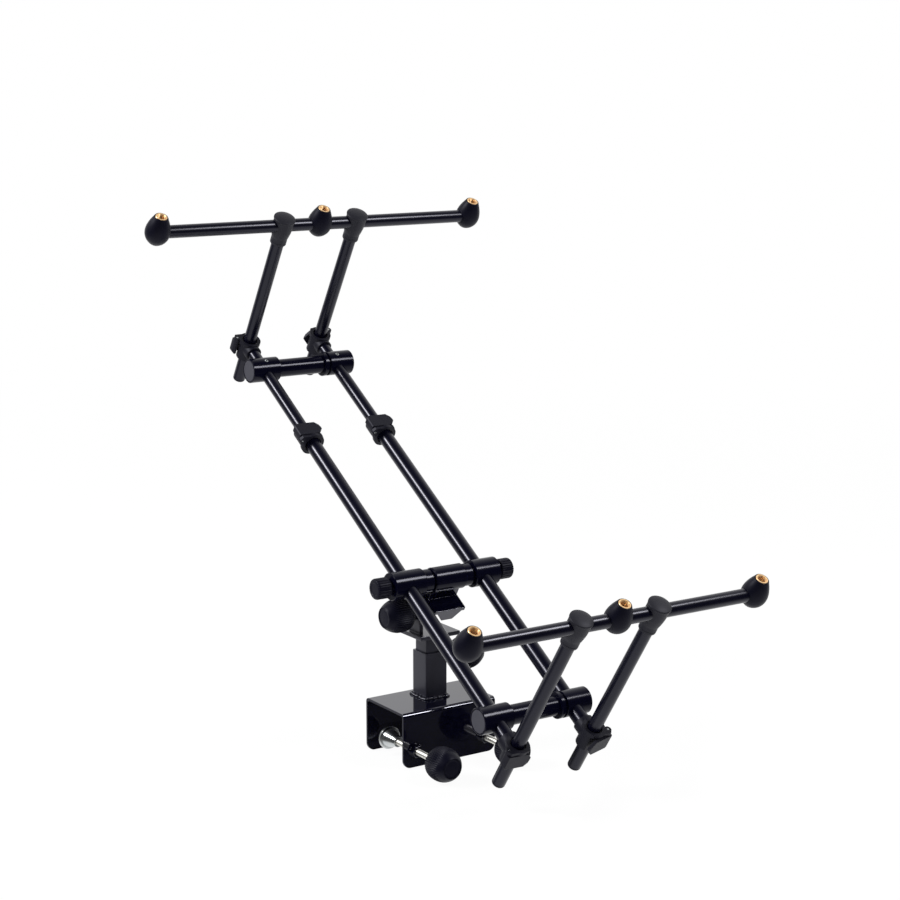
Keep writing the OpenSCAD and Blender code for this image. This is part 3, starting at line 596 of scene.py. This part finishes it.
def moulded(node, width, pins):
    """A copy of a moulding with all its edges rounded but those of the pin holes."""
    holes = [pin.inverted() for pin in pins]

    def away(edge):
        middle = (edge.verts[0].co + edge.verts[1].co) / 2
        return all((hole @ middle).xy.length > 0.0022 for hole in holes)

    return ease(merged_copy(node), width, rows=3, pick=away)


nylon_black = soft_touch("nylon_black", (0.003, 0.003, 0.008), (0.005, 0.005, 0.011), 0.40, 1.29)
pin_line = [(0, 0), (1.25, 0), (1.5, 0.25), (1.5, 22.75), (1.25, 23), (0, 23)]
clamp_sets = []
for end, along, shift, out in (("near", near_along, near_shift, -6.5), ("far", far_along, far_shift, 6.5)):
    pins = [
        leaning(rail_half * side, along, shift) @ Matrix.Translation((0.0153 * side, out / 1000, -0.012))
        for side in (-1, 1)
    ]
    clamp_sets.append((end + "_clamps", end + "_pins", "rails" if end == "near" else "reach", pins))
rail_pin_places = [on_rails(x - 16.55, 251, 7.75) @ to_far for x in (-rail_half, rail_half)]
clamp_sets.append(("rail_collars", "rail_pins", "rails", rail_pin_places))
for rings, rivets, body, pins in clamp_sets:
    piece(moulded(rings, 0.0011, pins), rings + "_moulded", nylon_black, body, "soft_black", rings)
    steel = joined(*[turned(pin_line, place, 24) for place in pins])
    piece(steel, rivets + "_steel", zinc_turned, body, "zinc", rivets)
    for mark, pin in zip("lr", pins):
        lever = rings.split("_")[0] + "_lever_" + mark
        piece(moulded(lever, 0.0009, [pin]), lever + "_flat", nylon_black, lever, "soft_black", lever)


# Uprights: thin black tubes that slide in the lever clamps, each with a rounded foot plug below.
# A moulded T joint on top carries the rod bar, with a domed cap over it.
def flowing(points, rows=5):
    """Runs a smooth curve through the points of a profile."""
    ends = [points[0]] + points + [points[-1]]
    curve = []
    for a, b, c, d in zip(ends, ends[1:], ends[2:], ends[3:]):
        for row in range(rows):
            u = row / rows
            curve.append(tuple(
                b[i] + 0.5 * u * (c[i] - a[i] + u * (2 * a[i] - 5 * b[i] + 4 * c[i] - d[i]
                + u * (3 * (b[i] - c[i]) + d[i] - a[i]))) for i in (0, 1)
            ))
    return curve + [points[-1]]


drawn_upright = anodised("drawn_upright", (1, 1, 40), slope)
foot_rubber = soft_touch("foot_rubber", (0.006, 0.006, 0.011), (0.009, 0.009, 0.014), 0.5)
tee_black = soft_touch("tee_black", (0.010, 0.010, 0.015), (0.013, 0.013, 0.018), 0.42)
foot_line = flowing([(0, 0), (3, 0.05), (5.6, 0.4), (7.2, 1.3), (7.85, 2.6), (7.9, 3.9)])
foot_line += [(6.4, 3.95), (0, 3.95)]
tee_line = (
    [(0, -26), (9.6, -26), (10.15, -25.6), (10.25, -25), (10.25, -22.6), (9.9, -22.4), (9.9, -21.8)]
    + flowing([(10.25, -21.6), (10.3, -17), (11.1, -13.5), (12.3, -7), (12.9, -1), (13.05, 8.8)])
    + [(13.1, 9.3), (13.6, 9.75), (13.75, 10.1), (13.75, 11.1), (13.6, 11.5)]
    + flowing([(13.1, 11.95), (9.6, 13.15), (5.5, 13.85), (0, 14.15)])
)
leg_line = tube_line(235, 8, 6.5)
leg_end = Matrix.Translation((0, 0, -0.052))
foot_end = Matrix.Translation((0, 0, -0.056))
for end, along, shift in (("near", near_along, near_shift), ("far", far_along, far_shift)):
    body = end + "_set"
    sides = [leaning(x, along, shift) for x in (-rail_half, rail_half)]
    legs = joined(*[turned(leg_line, at @ leg_end) for at in sides])
    piece(legs, end + "_leg_pair", drawn_upright, body, "tube_black", end + "_uprights")
    soles = joined(*[turned(foot_line, at @ foot_end) for at in sides])
    piece(soles, end + "_foot_pair", foot_rubber, body, "foot_rubber", end + "_feet")
    tee_end = Matrix.Translation((0, 0, bar_high / 1000 / cos(atan(shift / bar_high))))
    caps = joined(*[turned(tee_line, at @ tee_end) for at in sides])
    piece(caps, end + "_tee_pair", tee_black, body, "soft_black", end + "_tees")


# Rod bars: one drawn black tube through each pair of T joints, the far one longer than the near one.
# Three egg-shaped bosses of soft black plastic sit on it, two of them closing its ends.
drawn_bar = anodised("drawn_bar", (40, 1, 1))
boss_black = soft_touch("boss_black", (0.001, 0.001, 0.006), (0.002, 0.002, 0.009), 0.36, 1.25)
boss_line = (
    flowing([
        (0, -17), (4.6, -16.5), (9, -13.5), (12.4, -9.6), (14.6, -5.2), (15.5, 0), (15.1, 5), (13.8, 10.2),
        (11.8, 15.5), (9.4, 20.6),
    ])
    + [(8.7, 22.2), (8.3, 22.8), (7.8, 23.05), (7.3, 23.05), (7.25, 22.6), (7.25, 9.5), (0, 9.5)]
)
into_boss = 7
boss_seats = {}
for end, along, shift, half in (("near", near_along, near_shift, 192), ("far", far_along, far_shift, 224)):
    body = end + "_set"
    start = on_rails(shift - half - into_boss, along, bar_high) @ to_right
    beam = turned(tube_line(2 * (half + into_boss), 8, 6.5), start)
    piece(beam, end + "_rod_bar", drawn_bar, body, "tube_black", end + "_bar")
    boss_seats[end] = [on_rails(shift + x, along, bar_high) for x in (-half, 0, half)]
    eggs = joined(*[turned(boss_line, at, 96) for at in boss_seats[end]])
    piece(eggs, end + "_boss_set", boss_black, body, "soft_black", end + "_bosses")


# Thread inserts: turned brass bushes pressed into the tops of the bosses, for rod rests and alarms.
# Each has a broken rim and a coarse inside thread, which is wound as a ridge up the bore.
insert_line = [
    (4.85, 9.1), (7.15, 9.1), (7.15, 23.1), (6.9, 23.4), (5.5, 23.4), (4.85, 22.7), (4.85, 9.1),
]


def inner_ridge(place):
    """The inside thread of an insert: a ridge of triangular section, wound up the bore."""
    pitch = 1.27
    turns = 10
    steps = 32
    coil = bmesh.new()
    form = ((4.95, 0), (4.5, 0.42), (4.5, 0.5), (4.95, 0.92))
    corners = [coil.verts.new((r / 1000, 0, h / 1000)) for r, h in form]
    edges = [coil.edges.new(pair) for pair in zip(corners, corners[1:] + corners[:1])]
    bmesh.ops.spin(
        coil, geom=corners + edges, cent=(0, 0, 0), axis=(0, 0, 1), dvec=(0, 0, pitch / steps / 1000),
        angle=2 * pi * turns, steps=steps * turns, use_merge=False,
    )
    bmesh.ops.holes_fill(coil, edges=coil.edges, sides=4)
    bmesh.ops.recalc_face_normals(coil, faces=coil.faces)
    bmesh.ops.transform(coil, matrix=place, verts=coil.verts)
    return coil


brass = Finish("brass", Metallic=0.72)
tarnish = brass.noise(brass.spot(), 240, 3)
lathe = brass.noise(brass.spot(), 2600, 2)
brass.wire(
    Base_Color=brass.mixed(tarnish, (0.95, 0.59, 0.27), (1.0, 0.71, 0.40)),
    Roughness=0.26 + tarnish * 0.10 + lathe * 0.06,
    Normal=brass.bump(lathe, 0.15, 0.0001),
)
thread_start = Matrix.Translation((0, 0, 0.0098))
for end, seats in boss_seats.items():
    bushes = [turned(insert_line, at, 64) for at in seats]
    ridges = [inner_ridge(at @ thread_start) for at in seats]
    piece(joined(*bushes, *ridges), end + "_bush_set", brass, end + "_set", "brass", end + "_inserts")


# Studio: a white floor under the bracket and white air round it, which the camera sees as plain white.
# In reflections both are bright towards the back right alone, and the floor keeps part of its shading.
# One large soft box stands far off on the left, behind the pod, and a small one in front on the right.
def rising(graph, sockets):
    """A share that rises smoothly between two limits."""
    return graph.node("ShaderNodeMapRange", {"interpolation_type": "SMOOTHSTEP"}, sockets)


def bright_behind(graph, direction, facing):
    """A share that grows from almost none to one as a direction turns to the back right."""
    settings = {"operation": "DOT_PRODUCT"}
    turned_there = graph.node("ShaderNodeVectorMath", settings, {0: direction, 1: facing}, "Value")
    return rising(graph, {"Value": turned_there, "From Max": 0.85, "To Min": 0.03})


def studio_white(name, share):
    """Matt white that is seen mostly by its own glow, and by nothing else far from the pod."""
    matt = bpy.data.materials.new(name)
    matt.use_nodes = True
    matt.cycles.emission_sampling = "NONE"
    matt.node_tree.nodes.clear()
    cloth = Graph(matt.node_tree)
    camera_ray = cloth.node("ShaderNodeLightPath", {}, {}, "Is Camera Ray")
    glossy_ray = cloth.node("ShaderNodeLightPath", {}, {}, "Is Glossy Ray")
    clear_ray = cloth.node("ShaderNodeLightPath", {}, {}, "Is Transmission Ray")
    seen = camera_ray.or_more(glossy_ray).or_more(clear_ray)
    incoming = cloth.node("ShaderNodeNewGeometry", {}, {}, "Incoming")
    height = cloth.node("ShaderNodeSeparateXYZ", {}, {0: incoming}, "Z")
    steep = rising(cloth, {"Value": height, "From Min": 0.3, "From Max": 0.65})
    shown = steep.or_more(bright_behind(cloth, incoming, (-0.6, -0.8, 0))).or_more(camera_ray)
    position = cloth.node("ShaderNodeNewGeometry", {}, {}, "Position")
    away = cloth.node("ShaderNodeVectorMath", {"operation": "LENGTH"}, {0: position}, "Value")
    glowing = seen * rising(cloth, {"Value": away, "From Min": 0.8, "From Max": 3, "To Min": share})
    shaded = cloth.node("ShaderNodeBsdfDiffuse", {}, {"Color": (0.92, 0.92, 0.92, 1)})
    glow = cloth.node("ShaderNodeEmission", {}, {"Color": shown})
    surface = cloth.node("ShaderNodeMixShader", {}, {0: glowing, 1: shaded, 2: glow})
    cloth.node("ShaderNodeOutputMaterial", {}, {"Surface": surface})
    return matt


floor_place = Matrix.Translation((0, 0, -0.0644)) @ Matrix.Diagonal((30, 30, 1, 1))
floor = bmesh.new()
bmesh.ops.create_grid(floor, x_segments=1, y_segments=1, size=0.5)
bmesh.ops.transform(floor, matrix=floor_place, verts=floor.verts)
floor_mesh = bpy.data.meshes.new("studio_floor")
floor.to_mesh(floor_mesh)
floor.free()
floor_mesh.materials.append(studio_white("floor_white", 0.95))
floor_sheet = bpy.data.objects.new("studio_floor", floor_mesh)
bpy.context.scene.collection.objects.link(floor_sheet)

world = bpy.data.worlds.new("studio")
bpy.context.scene.world = world
world.use_nodes = True
world.cycles.sampling_method = "NONE"
world.node_tree.nodes.clear()
air = Graph(world.node_tree)
camera_ray = air.node("ShaderNodeLightPath", {}, {}, "Is Camera Ray")
diffuse_ray = air.node("ShaderNodeLightPath", {}, {}, "Is Diffuse Ray")
direction = air.node("ShaderNodeTexCoord", {}, {}, "Generated")
seen = bright_behind(air, direction, (0.6, 0.8, 0)).or_more(camera_ray)
mirrored = air.node("ShaderNodeBackground", {}, {"Color": (1, 1, 1, 1), "Strength": seen})
fill = air.node("ShaderNodeBackground", {}, {"Color": (1, 1, 1, 1), "Strength": 0.55})
surround = air.node("ShaderNodeMixShader", {}, {0: diffuse_ray, 1: mirrored, 2: fill})
air.node("ShaderNodeOutputWorld", {}, {"Surface": surround})


def soft_box(name, place, target, width, height, power):
    """A rectangular soft box that faces a point on the pod."""
    lamp = bpy.data.lights.new(name, "AREA")
    lamp.shape = "RECTANGLE"
    lamp.size = width
    lamp.size_y = height
    lamp.energy = power
    holder = bpy.data.objects.new(name, lamp)
    bpy.context.scene.collection.objects.link(holder)
    holder.location = place
    holder.rotation_euler = (Vector(target) - Vector(place)).to_track_quat("-Z", "Y").to_euler()
    holder.visible_camera = False


pod_middle = (0, 0.08, 0.25)
soft_box("left_box", (-3.32, 1.42, 2.98), pod_middle, width=1.7, height=0.7, power=185)
soft_box("right_box", (0.98, -1.10, 1.54), pod_middle, width=0.45, height=0.45, power=19)


# Camera: set where the photograph was taken from, as fitted to the tubes.
# It stands at the front left, a little above the pod.
camera = bpy.data.cameras.new("photo_camera")
camera.sensor_width = 36
camera.lens = 85.66
camera.clip_end = 100
holder = bpy.data.objects.new("photo_camera", camera)
bpy.context.scene.collection.objects.link(holder)
holder.location = (-1.3543, -2.0786, 0.7828)
holder.rotation_euler = (radians(79.125), 0, radians(-33.626))
bpy.context.scene.camera = holder
bpy.context.scene.view_settings.view_transform = "Standard"
